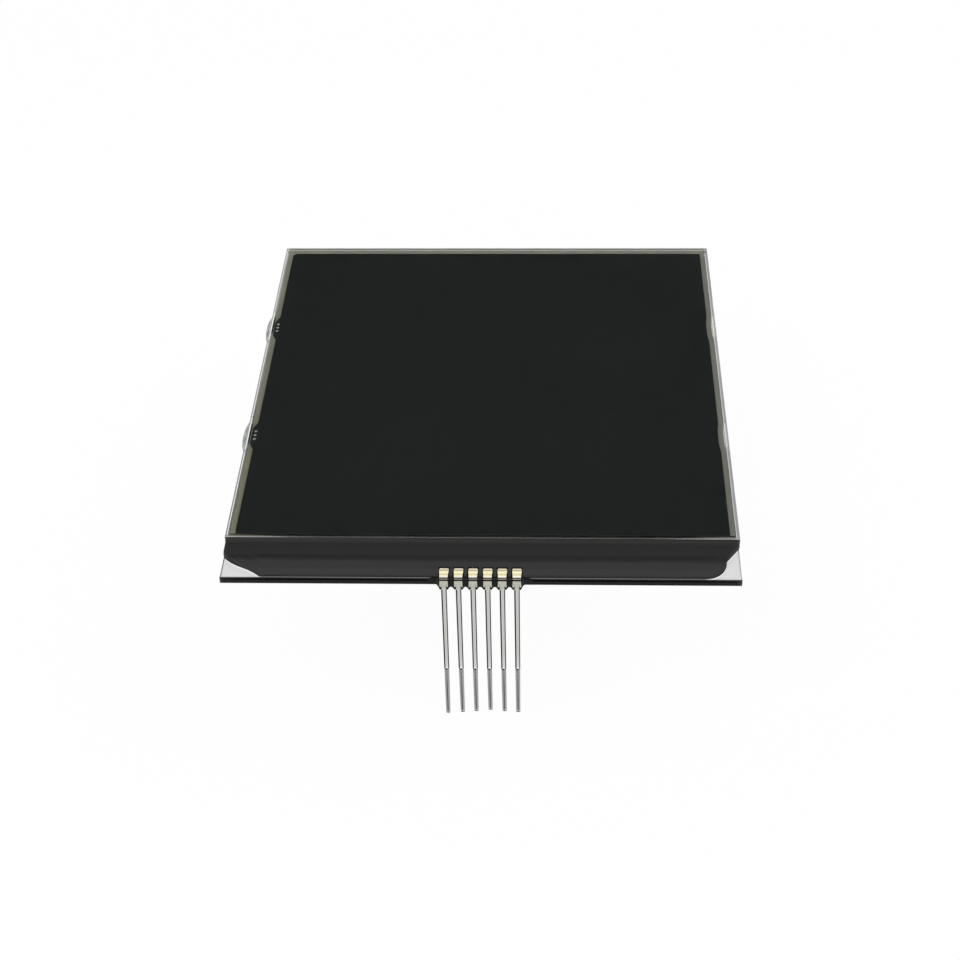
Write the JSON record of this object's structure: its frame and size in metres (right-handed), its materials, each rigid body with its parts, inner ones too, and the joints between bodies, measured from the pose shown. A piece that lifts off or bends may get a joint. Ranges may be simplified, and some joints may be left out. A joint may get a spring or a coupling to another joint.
{
  "type": "liquid crystal display panel",
  "caption": "Bare glass display panel of a vehicle's instrument cluster, with its driver under black resin on a ledge and clip pins that solder to the circuit board.",
  "frame": {"origin": "centre of the rear polariser's outer face, on which the panel is seated", "axes": "+Z out of the viewing side, +X to the right, -Y towards the ledge with the pins, and the leads run down along -Z"},
  "size_m": [0.0724, 0.088, 0.026],
  "materials": {
    "glass": "polished clear sheet, ground edges",
    "polariser_film": "smooth dark tinted film",
    "dark_crystal": "smooth near-black layer",
    "cell_seal": "matt olive grey epoxy",
    "clear_resin": "cloudy clear resin",
    "black_resin": "poured black resin, softly glossy",
    "silicon": "polished silicon",
    "bond_adhesive": "thin translucent film",
    "tin_plate": "tin-plated strip, rolled and stamped"
  },
  "bodies": {
    "root": {"bond_film": "bond_adhesive", "clip_pin_1": "tin_plate", "clip_pin_2": "tin_plate", "clip_pin_3": "tin_plate", "clip_pin_4": "tin_plate", "clip_pin_5": "tin_plate", "clip_pin_6": "tin_plate", "driver_die": "silicon", "front_glass": "glass", "front_polariser": "polariser_film", "ledge_resin": "black_resin", "liquid_crystal": "dark_crystal", "pin_bead": "black_resin", "port_plug_1": "clear_resin", "port_plug_2": "clear_resin", "rear_glass": "glass", "rear_polariser": "polariser_film", "seal_bar": "cell_seal", "seal_frame": "cell_seal", "seal_pillar_1": "cell_seal", "seal_pillar_2": "cell_seal", "seal_pillar_3": "cell_seal", "seal_pillar_4": "cell_seal", "seal_pillar_5": "cell_seal", "seal_pillar_6": "cell_seal"}
  },
  "joints": []
}
